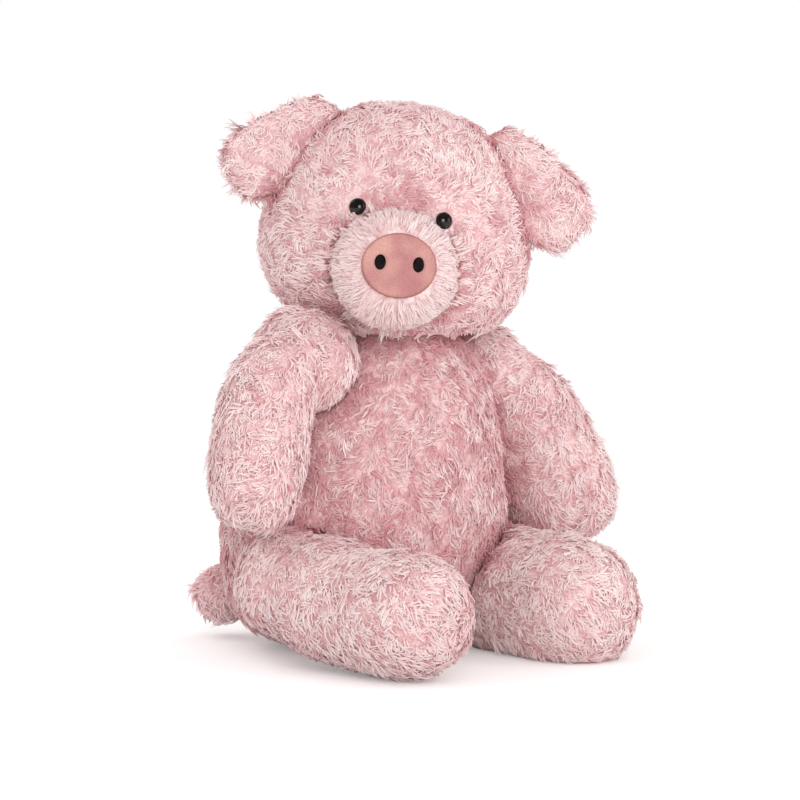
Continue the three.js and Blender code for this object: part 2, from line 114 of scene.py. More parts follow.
def lightScene():
    world = bpy.data.worlds.new("studio")
    bpy.context.scene.world = world
    world.use_nodes = True
    tree = world.node_tree
    tree.nodes.clear()
    rays, sky = addNode(tree, "LightPath"), lighting["sky"]
    level = addNode(
        tree, "MapRange", {"Value": rays["Is Glossy Ray"], "To Min": sky, "To Max": sky * lighting["mirrored"]}
    )
    lit = addNode(tree, "Background", {"Color": white, "Strength": level[0]})
    plain = addNode(tree, "Background", {"Color": white})
    mix = addNode(tree, "MixShader", {0: rays["Is Camera Ray"], 1: lit[0], 2: plain[0]})
    addNode(tree, "OutputWorld", {0: mix[0]})
    for number, lamp in enumerate(lighting["lamps"]):
        light = bpy.data.lights.new(f"softbox{number}", "AREA")
        light.shape, light.size, light.energy = "DISK", lamp["size"], lamp["power"]
        holder = bpy.data.objects.new(light.name, light)
        holder.location = lamp["place"]
        away = Vector(lighting["aim"]) - Vector(lamp["place"])
        holder.rotation_euler = away.to_track_quat("-Z", "Y").to_euler()
        bpy.context.scene.collection.objects.link(holder)
    bpy.context.scene.view_settings.view_transform = "Standard"


lightScene()

floorSheet = {
    "half": 3.0, "steps": 24, "fadeFrom": 0.22, "fadeTo": 0.60, "lift": 0.22, "paper": (0.96, 0.955, 0.95, 1),
}


def layFloor():
    # a flat square grid: x and y run from -half to half, z = 0. It turns pure white away from the pig.
    half, steps = floorSheet["half"], floorSheet["steps"]
    line = np.linspace(-half, half, steps + 1)
    x, y = np.meshgrid(line, line)
    points = np.stack([x, y, np.zeros_like(x)], axis=-1).reshape(-1, 3)
    row = np.arange(steps)
    corner = (row[:, None] * (steps + 1) + row[None, :]).ravel()
    quads = np.stack([corner, corner + 1, corner + steps + 2, corner + steps + 1], axis=1)
    mesh = bpy.data.meshes.new("floor")
    mesh.from_pydata(points.tolist(), [], quads.tolist())
    sheet = bpy.data.objects.new("floor", mesh)
    bpy.context.scene.collection.objects.link(sheet)
    material = bpy.data.materials.new("whiteFloor")
    material.use_nodes = True
    tree = material.node_tree
    tree.nodes.clear()
    seen = seenDirectly(tree)
    away = addNode(tree, "VectorMath", {0: addNode(tree, "TexCoord")["Object"]}, operation="LENGTH")["Value"]
    fade = addNode(
        tree, "MapRange", {"Value": away, "From Min": floorSheet["fadeFrom"], "From Max": floorSheet["fadeTo"]},
        interpolation_type="SMOOTHSTEP",
    )
    slight = addNode(tree, "Emission", {"Color": white, "Strength": product(tree, seen, floorSheet["lift"])})
    paper = addNode(tree, "BsdfDiffuse", {"Color": floorSheet["paper"]})
    both = addNode(tree, "AddShader", {0: paper[0], 1: slight[0]})
    glow = addNode(tree, "Emission", {"Color": white})
    mix = addNode(tree, "MixShader", {0: product(tree, fade[0], seen), 1: both[0], 2: glow[0]})
    addNode(tree, "OutputMaterial", {0: mix[0]})
    mesh.materials.append(material)


layFloor()
print("stage: camera, lights and floor")

# Materials


def linear(red, green, blue):
    # screen colour in 0..255 to the linear colour that a shader takes
    share = np.array([red, green, blue]) / 255
    return tuple(np.where(share <= 0.04045, share / 12.92, ((share + 0.055) / 1.055) ** 2.4)) + (1.0,)


def newMaterial(name, roughness, sheen=0.0):
    material = bpy.data.materials.new(name)
    material.use_nodes = True
    tree = material.node_tree
    shader = tree.nodes["Principled BSDF"]
    fillSockets(tree, shader, {"Roughness": roughness, "Sheen Weight": sheen, "Sheen Roughness": 0.5})
    return material, tree, shader


def ramp(tree, source, *stops):
    node = tree.nodes.new("ShaderNodeValToRGB")
    points = node.color_ramp.elements
    while len(points) < len(stops):
        points.new(0.5)
    for element, (place, colour) in zip(points, stops):
        element.position = place
        element.color = colour
    tree.links.new(source, node.inputs[0])
    return node.outputs[0]


def noise(tree, scale, detail):
    place = addNode(tree, "TexCoord")["Object"]
    return addNode(tree, "TexNoise", {"Vector": place, "Scale": scale, "Detail": detail})[0]


def bump(tree, height, strength, distance):
    return addNode(tree, "Bump", {"Height": height, "Strength": strength, "Distance": distance})[0]


def tinted(tree, first, *others):
    # the product of colours
    for other in others:
        first = addNode(tree, "Mix", {0: 1.0, 6: first, 7: other}, data_type="RGBA", blend_type="MULTIPLY")[2]
    return first


def ownMap(tree):
    # the UV map of a piece, u in X and v in Y
    return addNode(tree, "SeparateXYZ", {0: addNode(tree, "UVMap", uv_map="pile")[0]})


patches = ((60, 0.34, 0.60), (17, 0.36, 0.62))   # size of a noise, and the values between which it turns white


def pileMaterial(name, colours, sheen):
    # the UV map holds a lock's tone in u, which also carries painted crease shade, and the way from root to tip in v
    material, tree, shader = newMaterial(name, 0.9, sheen)
    parts = ownMap(tree)
    # the root end is darker and rosier than the tip: painted shade for the gaps deep in the pile
    growth = ramp(tree, parts["Y"], (0.0, colours["root"]), (0.4, colours["middle"]), (1.0, colours["tip"]))
    # u runs from the deep colour to white; its low end gives the painted crease shade as well as the random tone
    tone = ramp(tree, parts["X"], (0.0, colours["deep"]), (0.5, (0.97, 0.94, 0.94, 1)), (1.0, white))
    clouds = [ramp(tree, noise(tree, size, 2), (low, colours["patch"]), (high, white)) for size, low, high in patches]
    fillSockets(tree, shader, {
        "Specular IOR Level": 0.0, "Sheen Tint": colours["root"], "Base Color": tinted(tree, growth, tone, *clouds),
    })
    return material


def clothMaterial(name, dark, light, scale, strength, distance=0.0004, roughness=0.95, sheen=0.2):
    # fine noise times a coarser one picks a tone between the two, and the fine one also makes bumps
    material, tree, shader = newMaterial(name, roughness, sheen)
    fine, coarse = noise(tree, scale, 4), noise(tree, scale / 5, 4)
    fillSockets(tree, shader, {
        "Specular IOR Level": 0.08,
        "Base Color": ramp(tree, product(tree, fine, coarse), (0.16, dark), (0.36, light)),
        "Normal": bump(tree, fine, strength, distance),
    })
    return material


def suedeMaterial(name, dark, light):
    # the UV map holds the way from the middle to the rim in v: darker at the rim, a painted shade where the pile
    # overlaps the pad; mottled and grained
    material, tree, shader = newMaterial(name, 0.8, 0.25)
    # painted shade: the rim of the pad is darkened where the pile hangs over it
    rim = ramp(tree, ownMap(tree)["Y"], (0.88, white), (0.94, (0.90, 0.84, 0.84, 1)), (1.0, (0.72, 0.60, 0.60, 1)))
    cloud, grain = noise(tree, 48, 2), noise(tree, 1500, 3)
    mottled = ramp(tree, cloud, (0.38, dark), (0.62, light))
    grained = ramp(tree, grain, (0.30, (0.84, 0.80, 0.80, 1)), (0.65, white))
    fillSockets(tree, shader, {
        "Specular IOR Level": 0.08, "Sheen Tint": light, "Base Color": tinted(tree, mottled, grained, rim),
        "Normal": bump(tree, grain, 0.35, 0.0002),
    })
    return material


def plasticMaterial(name, dark, light, smooth, rough):
    # moulded plastic: a slow change of tone, and fine scuffs that change the gloss
    material, tree, shader = newMaterial(name, smooth)
    gloss = addNode(tree, "MapRange", {"Value": noise(tree, 2600, 3), "To Min": smooth, "To Max": rough})
    tone = ramp(tree, noise(tree, 220, 2), (0.35, dark), (0.65, light))
    fillSockets(tree, shader, {"Base Color": tone, "Roughness": gloss[0]})
    return material


def weaveMaterial(name, dark, light, threads):
    # plain weave: two sets of bands at right angles, the darker of the two showing between the threads
    material, tree, shader = newMaterial(name, 0.9, 0.15)
    place = addNode(tree, "TexCoord")["Object"]
    waves = [
        addNode(tree, "TexWave", {"Vector": place, "Scale": threads, "Distortion": 1.5}, bands_direction=way)["Fac"]
        for way in "XY"
    ]
    lowest = addNode(tree, "Math", dict(enumerate(waves)), operation="MINIMUM")[0]
    tone = ramp(tree, lowest, (0.05, dark), (0.6, light))
    fillSockets(tree, shader, {"Base Color": tone, "Normal": bump(tree, lowest, 0.5, 0.0003)})
    return material


# the root colours are painted shade of the deep pile; deep is the dark end of the tone, which also gives painted
# crease shade
pilePink = {
    "root": linear(226, 156, 161), "middle": linear(243, 219, 218), "tip": linear(251, 243, 241),
    "deep": (0.73, 0.47, 0.50, 1), "patch": (0.97, 0.90, 0.91, 1),
}
pilePale = {
    "root": linear(224, 180, 181), "middle": linear(240, 220, 219), "tip": linear(250, 241, 239),
    "deep": (0.88, 0.74, 0.75, 1), "patch": (0.97, 0.92, 0.92, 1),
}
pileRose = {
    "root": linear(240, 172, 176), "middle": linear(253, 220, 220), "tip": linear(255, 240, 238),
    "deep": (0.88, 0.72, 0.73, 1), "patch": (0.97, 0.91, 0.92, 1),
}

finishes = {
    "pink": pileMaterial("pinkPile", pilePink, 0.35),
    "pale": pileMaterial("palePile", pilePale, 0.30),
    "rose": pileMaterial("rosePile", pileRose, 0.30),
    "backing": clothMaterial("pinkBacking", linear(216, 162, 165), linear(244, 214, 213), 900, 0.9, 0.0010),
    "paleBacking": clothMaterial("paleBacking", linear(230, 194, 192), linear(246, 226, 223), 900, 0.6),
    "fibre": clothMaterial("fibreFilling", linear(226, 222, 216), linear(248, 246, 242), 420, 0.8, 0.0012),
    "linen": weaveMaterial("linenBag", linear(170, 160, 144), linear(216, 206, 190), 420),
    "suede": suedeMaterial("roseSuede", linear(184, 126, 127), linear(213, 163, 152)),
    "thread": clothMaterial("darkThread", linear(10, 7, 7), linear(34, 24, 23), 2600, 0.6, 0.0001, 0.6, 0.0),
    "eye": plasticMaterial("blackGloss", linear(8, 6, 6), linear(26, 15, 12), 0.03, 0.10),
    "washer": plasticMaterial("clearWasher", linear(200, 203, 206), linear(226, 228, 229), 0.30, 0.50),
}
for node, finish in (
    [("seat_bead_bag", "linen"), ("eye_washer_left", "washer"), ("eye_washer_right", "washer")]
    + [(node, "fibre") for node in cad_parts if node.endswith("_filling")]
):
    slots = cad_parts[node].data.materials
    slots.clear()
    slots.append(finishes[finish])
print("stage: materials")

# Forms, in metres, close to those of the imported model

cloth = {
    "inset": 0.0009,       # the backing lies this deep under the pressed pile of the model
    "fibre": 0.0045,       # and the filling this deep
    "seamGap": 0.00035,
}
inset = cloth["inset"]


def signedPower(value, power):
    return np.sign(value) * np.abs(value) ** power


def unit(vectors):
    return vectors / np.maximum(np.linalg.norm(vectors, axis=-1, keepdims=True), 1e-12)


def centreline(points, count=241):
    # a centripetal spline: each stretch is c0 + c1 t + c2 t^2 + c3 t^3, with slopes from its neighbours
    points = np.array(points, float)
    line = np.concatenate([[2 * points[0] - points[1]], points, [2 * points[-1] - points[-2]]])
    stretch = np.sqrt(np.linalg.norm(np.diff(line, axis=0), axis=1))[:, None]
    slopes = (line[1:-1] - line[:-2]) / stretch[:-1] - (line[2:] - line[:-2]) / (stretch[:-1] + stretch[1:])
    slopes = slopes + (line[2:] - line[1:-1]) / stretch[1:]
    at = np.linspace(0, len(points) - 1 - 1e-9, count)
    part, t = at.astype(int), (at % 1)[:, None]
    start, end = points[part], points[part + 1]
    slopeIn, slopeOut = slopes[part] * stretch[part + 1], slopes[part + 1] * stretch[part + 1]
    curve = start + slopeIn * t + (3 * (end - start) - 2 * slopeIn - slopeOut) * t**2
    curve = curve + (2 * (start - end) + slopeIn + slopeOut) * t**3
    lengths = np.concatenate([[0], np.cumsum(np.linalg.norm(np.diff(curve, axis=0), axis=1))])
    return {"points": curve, "places": lengths / lengths[-1], "length": lengths[-1]}


def alongLine(line, places):
    # points and directions at places 0..1 by length; the line runs straight on past its ends
    inside = np.clip(places, 0, 1)
    slopes = unit(np.gradient(line["points"], axis=0))
    point = np.stack([np.interp(inside, line["places"], line["points"][:, k]) for k in range(3)], axis=-1)
    slope = unit(np.stack([np.interp(inside, line["places"], slopes[:, k]) for k in range(3)], axis=-1))
    return point + slope * ((places - inside) * line["length"])[..., None], slope


def ringFrame(form, slope):
    heading = np.broadcast_to([0.0, 0.0, 1.0], slope.shape) if form.get("level") else slope
    across = np.broadcast_to(np.array(form["across"], float), slope.shape)
    across = unit(across - heading * (across * heading).sum(axis=-1, keepdims=True))
    return across, np.cross(heading, across)


def swelling(form, along, least=1e-9):
    # (1 - |along|^k)^(1/k), from -1 at the start of a form to 1 at its end
    return np.maximum(1 - np.abs(along) ** form["squareness"], least) ** (1 / form["squareness"])


def growth(form, along):
    # 1 + taper * along, less the waist, a bell curve: waist * exp(-((along - place) / length)^2)
    bell = np.exp(-(((along - legShape["waistPlace"]) / legShape["waistLength"]) ** 2))
    return 1 + form["taper"] * along - form.get("waist", 0.0) * bell


def stuffedRings(form, depth, rings, sides):
    # ring j, side i: centre + across * a cos(i) + through * b sin(i), with
    # along = -sign cos(j) |cos(j)|^(2/k), swell = |sin(j)|^(2/k),
    # a and b = (half size * (1 + taper * along) - depth) * swell
    angle = np.linspace(0, np.pi, rings + 1)
    along = -signedPower(np.cos(angle), 2 / form["squareness"])
    swell = np.abs(np.sin(angle)) ** (2 / form["squareness"])
    trim = depth / form["line"]["length"]
    places = trim + (1 - 2 * trim) * (along + 1) / 2
    centre, slope = alongLine(form["line"], places)
    across, through = ringFrame(form, slope)
    grow = growth(form, along)
    turn = np.linspace(0, 2 * np.pi, sides, endpoint=False)
    wide = ((form["halfWidth"] * grow - depth) * swell)[:, None, None]
    lift = ((form["halfDepth"] * grow - depth) * swell)[:, None] * np.sin(turn)
    if form.get("layer"):
        lift = form["layer"] * (form["layerGap"] / 2 + np.maximum(0, form["layer"] * lift))
    return centre[:, None] + across[:, None] * wide * np.cos(turn)[None, :, None] + through[:, None] * lift[..., None]


def levelShare(form, points, grown):
    # how far out a point lies in an upright form: 1 on its surface, less inside
    line = form["line"]
    places = np.interp(points[..., 2], line["points"][:, 2], line["places"], left=-1, right=2)
    inside = np.clip(places, 0, 1)
    centre = np.stack([np.interp(inside, line["places"], line["points"][:, k]) for k in range(2)], axis=-1)
    along = np.clip(2 * places - 1, -1, 1)
    grow, swell = 1 + form["taper"] * along, swelling(form, along)
    a, b = ((form[key] * grow + grown) * swell for key in ("halfWidth", "halfDepth"))
    off = points[..., :2] - centre
    return np.sqrt((off[..., 0] / a) ** 2 + (off[..., 1] / b) ** 2), centre


def pushedOut(form, points, grown):
    # what lies inside an upright form is moved level, straight away from its middle, onto its surface
    share, centre = levelShare(form, points, grown)
    scale = np.where(share < 1, 1 / np.maximum(share, 1e-3), 1)[..., None]
    moved = points.copy()
    moved[..., :2] = centre + (points[..., :2] - centre) * scale
    return moved


torso = {
    "line": centreline([(0, 0, -0.0005), (0.0072, -0.008, 0.0405), (0.0052, -0.016, 0.0825), (0.008, -0.032, 0.150)]),
    "level": True, "across": (1, 0, 0), "halfWidth": 0.063, "halfDepth": 0.059,
    "taper": -0.22, "squareness": 2.3, "neck": 0.143,
}


def torsoHolds(points, grown=0.0):
    return (levelShare(torso, points, grown)[0] < 1) & (points[..., 2] > -grown) & (points[..., 2] < torso["neck"])


armShape = {
    "shift": 0.0056,
    "lean": 0.016, "leanShares": (0.6, 0.65, 1.0),   # of the whole upper body; shares at shoulder, elbow and hand
    "overlap": 0.006, "taper": 0.12, "squareness": 2.9, "twist": 42.0,
    "left": {
        "shoulder": (0.053, 0.033, 0.1235), "elbow": (0.0722, 0.038, 0.1010), "hand": (0.1005, 0.047, 0.0450),
        "sizes": (0.0264, 0.0216), "ball": 0.020,
    },
    "right": {
        "shoulder": (0.053, 0.033, 0.1235), "elbow": (0.0745, 0.038, 0.1140), "hand": (0.0968, 0.047, 0.049),
        "sizes": (0.0243, 0.0205), "ball": 0.0235,
    },
}
legShape = {
    "overlap": 0.014, "squareness": 2.9, "waistPlace": 0.15, "waistLength": 0.45,
    "left": {
        "hip": (0.055, -0.033, 0.02572), "foot": (0.0470, -0.1280, 0.0240),
        "sizes": (0.0296, 0.0318), "taper": 0.06, "waist": 0.05, "sag": 0.0014, "ball": 0.026,
    },
    "right": {
        "hip": (-0.055, -0.033, 0.0360), "foot": (-0.050, -0.1295, 0.0302),
        "sizes": (0.0282, 0.0288), "taper": 0.09, "waist": 0.10, "sag": 0.0050, "ball": 0.0245,
    },
}


def armPoints(word, side):
    # shoulder, elbow and hand; the right arm is higher, because the whole upper body leans to the left
    lean = armShape["lean"] if side < 0 else 0.0
    places = np.array([armShape[word][key] for key in ("shoulder", "elbow", "hand")]) * (side, -1, 1)
    places[:, 0] += armShape["shift"]
    places[:, 2] += lean * np.array(armShape["leanShares"])
    return places


def legPoints(word):
    # hip, the thinner place behind the foot, which sags towards the floor, and foot
    leg = legShape[word]
    hip, foot = np.array(leg["hip"]), np.array(leg["foot"])
    waist = hip + (foot - hip) * (1 + legShape["waistPlace"]) / 2
    return np.array([hip, waist - (0, 0, leg["sag"]), foot])


def limbForm(word, points, towards, across, shape):
    # a ball at the joint, and a swelling form that starts behind the middle of the ball, by the overlap
    form = {**shape, **shape[word], "across": across, "pivot": points[0]}
    form["halfWidth"], form["halfDepth"] = form["sizes"]
    first = points[0] - unit(towards - points[0]) * form["overlap"]
    return {**form, "line": centreline([first, *points[1:]])}


def limbRings(form, depth, rings, sides, steps=64, reach=0.05):
    # each ray leaves the centreline at right angles and ends where it leaves the ball or the swelling form,
    # whichever is further, while the form ends at the torso
    length, radius = form["line"]["length"], form["ball"] - depth
    angle = np.linspace(0, np.pi, rings + 1)
    share = (1 - signedPower(np.cos(angle), 0.85)) / 2
    back = (form["ball"] - form["overlap"] - depth) / length
    places = -back + (1 - depth / length + back) * share
    centre, slope = alongLine(form["line"], places)
    across, through = ringFrame(form, slope)
    along = np.clip(2 * places - 1, -1, 1)
    swell, grow = swelling(form, along, 0), growth(form, along)
    turn = np.linspace(0, 2 * np.pi, sides, endpoint=False)[None, :, None]
    wide, deep = ((form[key] * grow - depth)[:, None, None] for key in ("halfWidth", "halfDepth"))
    ray = across[:, None] * wide * np.cos(turn) + through[:, None] * deep * np.sin(turn)
    farthest = np.linalg.norm(ray, axis=-1) * swell[:, None]
    ray = unit(ray)

    def holds(distance):
        points = centre[:, None, None] + ray[:, :, None] * distance[..., None]
        inBall = np.linalg.norm(points - form["pivot"], axis=-1) < radius
        inForm = (distance < farthest[..., None]) & ~torsoHolds(points, cloth["seamGap"] + depth)
        return inBall | inForm

    distance = np.linspace(0, reach, steps)
    filled = holds(np.broadcast_to(distance, farthest.shape + (steps,)))
    first = np.argmin(filled, axis=-1)
    low, high = distance[np.maximum(first - 1, 0)], distance[first]
    for halving in range(12):
        middle = (low + high) / 2
        inside = holds(middle[..., None])[..., 0]
        low, high = np.where(inside, middle, low), np.where(inside, high, middle)
    return centre[:, None] + ray * low[..., None]


arms, legs = {}, {}
twist = np.radians(armShape["twist"])
for word, side in (("left", 1), ("right", -1)):
    points = armPoints(word, side)
    arms[word] = limbForm(word, points, points[1], (side * np.cos(twist), -np.sin(twist), 0), armShape)
    points = legPoints(word)
    legs[word] = limbForm(word, points, points[2], (1, 0, 0), legShape)
limbs = [*arms.values(), *legs.values()]

head = {
    "level": True, "across": (1, 0, 0), "halfWidth": 0.0595, "halfDepth": 0.052, "halfHeight": 0.054,
    "taper": -0.1, "squareness": 2.25,
    "centre": (0.008, -0.032, 0.18985), "turn": -39.5, "nod": 6.0, "roll": 9.5, "neck": 0.14335,
}
head["line"] = centreline([(0, 0, -head["halfHeight"]), (0, 0, head["halfHeight"])])
muzzle = {
    "back": -0.022, "middle": -0.050, "front": -0.0668, "tip": -0.070, "drop": -0.022,
    "across": (1, 0, 0), "halfWidth": 0.027, "halfDepth": 0.026, "taper": 0.0, "squareness": 2.5,
}
muzzle["line"] = centreline([(0, muzzle["back"], muzzle["drop"]), (0, muzzle["tip"], muzzle["drop"])])
ear = {
    "root": (0.031, -0.006, 0.0430), "middle": (0.0545, -0.014, 0.0245),
    "tip": {"left": (0.0785, -0.0168, 0.0075), "right": (0.0772, -0.0165, 0.0088)},
    "halfWidth": 0.0174, "halfDepth": 0.0065, "taper": 0.05, "squareness": 3.0, "layerGap": 0.00035,
}
tail = {
    "line": centreline([(-0.010, 0.044446, 0.019), (-0.0158, 0.0570, 0.0192), (-0.0225, 0.0706, 0.0195)]),
    "across": (1, 0, 0), "halfWidth": 0.0125, "halfDepth": 0.0128, "taper": 0.25, "squareness": 2.1,
}


def spin(axis, degrees):
    c, s = np.cos(np.radians(degrees)), np.sin(np.radians(degrees))
    turns = {
        "x": [[1, 0, 0], [0, c, -s], [0, s, c]],
        "y": [[c, 0, s], [0, 1, 0], [-s, 0, c]],
        "z": [[c, -s, 0], [s, c, 0], [0, 0, 1]],
    }
    return np.array(turns[axis])


headSpin = spin("z", head["turn"]) @ spin("x", -head["nod"]) @ spin("y", head["roll"])


def fromHead(points):
    return points @ headSpin.T + np.array(head["centre"])


def toHead(points):
    return (points - np.array(head["centre"])) @ headSpin


def headHolds(points, grown=0.0):
    return (levelShare(head, toHead(points), grown)[0] < 1) & (points[..., 2] > head["neck"] - grown)


def muzzleHolds(points, grown=0.0):
    # (across / a)^2 + (through / b)^2 < swell^2, forward of the back of the muzzle
    local = toHead(points)
    along = np.clip(2 * (local[..., 1] - muzzle["back"]) / (muzzle["tip"] - muzzle["back"]) - 1, -1, 1)
    off = (local[..., 0] / (muzzle["halfWidth"] + grown)) ** 2
    off = off + ((local[..., 2] - muzzle["drop"]) / (muzzle["halfDepth"] + grown)) ** 2
    return (off < swelling(muzzle, along) ** 2) & (local[..., 1] < muzzle["back"])


def limbHolds(form):
    def holds(points, grown=0.0):
        flat = points.reshape(-1, 3)
        line, places = form["line"]["points"][::6], form["line"]["places"][::6]
        away = np.linalg.norm(flat[:, None] - line[None], axis=-1)
        along = 2 * places[away.argmin(axis=1)] - 1
        radius = max(form["halfWidth"], form["halfDepth"]) * growth(form, along) + grown
        inBall = np.linalg.norm(flat - form["pivot"], axis=-1) < form["ball"] + grown
        return ((away.min(axis=1) < radius * swelling(form, along)) | inBall).reshape(points.shape[:-1])
    return holds


def ballsHold(points, grown=0.0):
    return np.any([np.linalg.norm(points - form["pivot"], axis=-1) < form["ball"] + grown for form in limbs], axis=0)


# Meshes from whole arrays


def fetched(items, key, kind=float):
    values = np.empty(len(items) * 3, kind)
    items.foreach_get(key, values)
    return values.reshape(-1, 3)


def meshPiece(name, points, quads, triangles, uv=None):
    mesh = bpy.data.meshes.new(name)
    sizes = np.concatenate([np.full(len(quads), 4), np.full(len(triangles), 3)])
    corners = np.concatenate([quads.ravel(), triangles.ravel()]).astype(np.int32)
    starts = np.concatenate([[0], np.cumsum(sizes)[:-1]]).astype(np.int32)
    mesh.vertices.add(len(points))
    mesh.vertices.foreach_set("co", points.astype(np.float32).ravel())
    mesh.loops.add(len(corners))
    mesh.loops.foreach_set("vertex_index", corners)
    mesh.polygons.add(len(sizes))
    mesh.polygons.foreach_set("loop_start", starts)
    mesh.polygons.foreach_set("use_smooth", np.ones(len(sizes), bool))
    if uv is not None:
        layer = mesh.uv_layers.new(name="pile")
        layer.data.foreach_set("uv", uv[corners].astype(np.float32).ravel())
    mesh.update(calc_edges=True)
    piece = bpy.data.objects.new(name, mesh)
    bpy.context.scene.collection.objects.link(piece)
    return piece


def closedGrid(rows):
    # rows[j, i] closed round i; the first and last rows are single points. The faces turn outwards.
    rings, sides = rows.shape[0] - 2, rows.shape[1]
    points = np.concatenate([rows[:1, 0], rows[1:-1].reshape(-1, 3), rows[-1:, 0]])
    start, side = np.meshgrid(1 + np.arange(rings - 1) * sides, np.arange(sides), indexing="ij")
    after = (side + 1) % sides
    quads = np.stack([start + side, start + after, start + sides + after, start + sides + side], axis=-1)
    quads = quads.reshape(-1, 4)
    one = np.arange(sides)
    two, top = (one + 1) % sides, 1 + (rings - 1) * sides
    triangles = np.concatenate([
        np.stack([np.zeros_like(one), 1 + two, 1 + one], axis=1),
        np.stack([np.full_like(one, len(points) - 1), top + one, top + two], axis=1),
    ])
    fan = np.concatenate([quads[:, [0, 1, 2]], quads[:, [0, 2, 3]], triangles])
    a, b, c = points[fan[:, 0]], points[fan[:, 1]], points[fan[:, 2]]
    if (a * np.cross(b, c)).sum() < 0:
        quads, triangles = quads[:, ::-1], triangles[:, ::-1]
    return points, quads, triangles


def dimpled(rows, centres):
    # a point that lies in a limb's ball goes back towards the middle of the torso until it leaves the ball:
    # |c + f (p - c) - b| = R, solved for f
    moved = rows.copy()
    for form in limbs:
        radius = form["ball"] + cloth["seamGap"]
        ray, off = moved - centres, centres - form["pivot"]
        a = (ray * ray).sum(axis=-1)
        b = 2 * (ray * off).sum(axis=-1)
        c = (off * off).sum(axis=-1) - radius**2
        root = (-b - np.sqrt(np.maximum(b * b - 4 * a * c, 0))) / np.maximum(2 * a, 1e-12)
        inBall = np.linalg.norm(moved - form["pivot"], axis=-1) < radius
        moved = np.where(inBall[..., None], centres + ray * np.clip(root, 0, 1)[..., None], moved)
    return moved


def clipped(rows, low, high=np.inf):
    # held between two heights
    rows[..., 2] = np.clip(rows[..., 2], low, high)
    return rows


stuffing = {"pressure": 4.0, "frames": 20, "cap": 0.0010}


def between(grid):
    # the same grid with one more row between each two, and one more column, by the mean of the neighbours
    rings = np.empty((2 * len(grid) - 1, grid.shape[1], 3))
    rings[::2], rings[1::2] = grid, (grid[:-1] + grid[1:]) / 2
    sides = np.empty((len(rings), 2 * grid.shape[1], 3))
    sides[:, ::2], sides[:, 1::2] = rings, (rings + np.roll(rings, -1, axis=1)) / 2
    return sides


def blownUp(rows, held):
    # Cloth filled under pressure, worked out on every second ring and side. A point p moves to
    # p + d min(1, cap / |d|), where d is how far the cloth took it; held tells what is sewn or pressed flat.
    points, quads, triangles = closedGrid(rows[::2, ::2])
    piece = meshPiece("stuffing", points, quads, triangles)
    sewn = piece.vertex_groups.new(name="sewn")
    sewn.add(np.flatnonzero(held(points)).tolist(), 1.0, "REPLACE")
    blower = piece.modifiers.new("cloth", "CLOTH")
    blower.settings.use_pressure = True
    blower.settings.uniform_pressure_force = stuffing["pressure"]
    blower.settings.effector_weights.gravity = 0.0
    blower.settings.vertex_group_mass = "sewn"
    blower.point_cache.frame_start, blower.point_cache.frame_end = 1, stuffing["frames"]
    for step in range(1, stuffing["frames"] + 1):
        bpy.context.scene.frame_set(step)
    final = piece.evaluated_get(bpy.context.evaluated_depsgraph_get()).data
    shift = fetched(final.vertices, "co") - points
    size = np.linalg.norm(shift, axis=1, keepdims=True)
    shift = shift * np.minimum(1, stuffing["cap"] / np.maximum(size, 1e-9))
    bpy.data.objects.remove(piece)
    bpy.context.scene.frame_set(1)
    sides = rows.shape[1] // 2
    ends = [np.broadcast_to(shift[k], (1, sides, 3)) for k in (0, -1)]
    print("stuffing: largest move", round(float(np.minimum(size, stuffing["cap"]).max()) * 1000, 2), "mm")
    return rows + between(np.concatenate([ends[0], shift[1:-1].reshape(-1, sides, 3), ends[1]]))


def addPiece(name, rows, body, nodes, finish, uv=None):
    piece = meshPiece(name, *closedGrid(rows), uv)
    piece.data.materials.append(finishes[finish])
    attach(piece, body)
    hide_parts(*nodes)
    return piece


skins = {}


def addSkin(name, rows, body, nodes, finish):
    skins[name] = addPiece(name, rows, body, nodes, finish)


seamHold = 0.003   # the cloth of torso and head stays where it is this close to the neck seam

torsoRows = stuffedRings(torso, inset, 64, 72)
torsoCentres = np.broadcast_to(torsoRows.mean(axis=1, keepdims=True), torsoRows.shape)
torsoRows = clipped(dimpled(torsoRows, torsoCentres), 0.0, torso["neck"])
torsoRows = blownUp(
    torsoRows,
    lambda points: ballsHold(points, 0.006) | (points[:, 2] < 0.002) | (points[:, 2] > torso["neck"] - seamHold),
)
addSkin("bodySkin", clipped(torsoRows, 0.0, torso["neck"]), "torso", ["body_cover"], "backing")

headRows = clipped(fromHead(stuffedRings(head, inset, 56, 72)), head["neck"])
headRows = blownUp(headRows, lambda points: (points[:, 2] < head["neck"] + seamHold) | muzzleHolds(points, 0.002))
addSkin("headSkin", clipped(headRows, head["neck"]), "head", ["head_cover"], "backing")

muzzleRows = stuffedRings(muzzle, inset, 40, 56)
muzzleRows[..., 1] = np.maximum(muzzleRows[..., 1], muzzle["front"])
muzzleRows = fromHead(pushedOut(head, muzzleRows, cloth["seamGap"] - inset))
addSkin("muzzleSkin", muzzleRows, "head", ["muzzle_cover"], "paleBacking")

for word in ("left", "right"):
    for limb, forms, sides, fibreSides, fill in (("arm", arms, 48, 36, 0.7), ("leg", legs, 56, 40, 0.8)):
        rows = clipped(limbRings(forms[word], inset, 56, sides), 0.0)
        rows = blownUp(rows, lambda points: torsoHolds(points, 0.004) | (points[:, 2] < 0.002))
        label, body = f"{limb}{word.title()}", f"{limb}_{word}"
        addSkin(f"{label}Skin", clipped(rows, 0.0), body, [f"{body}_cover"], "backing")
        rows = clipped(limbRings(forms[word], cloth["fibre"], 40, fibreSides), 0.0035)
        addSkin(f"{label}Fibre", rows, body, [f"{body}_filling"], "fibre")

tailRows = pushedOut(torso, stuffedRings(tail, inset, 24, 32), cloth["seamGap"] - inset)
addSkin("tailSkin", tailRows, "tail", ["tail_cover"], "backing")

earHolds = {}


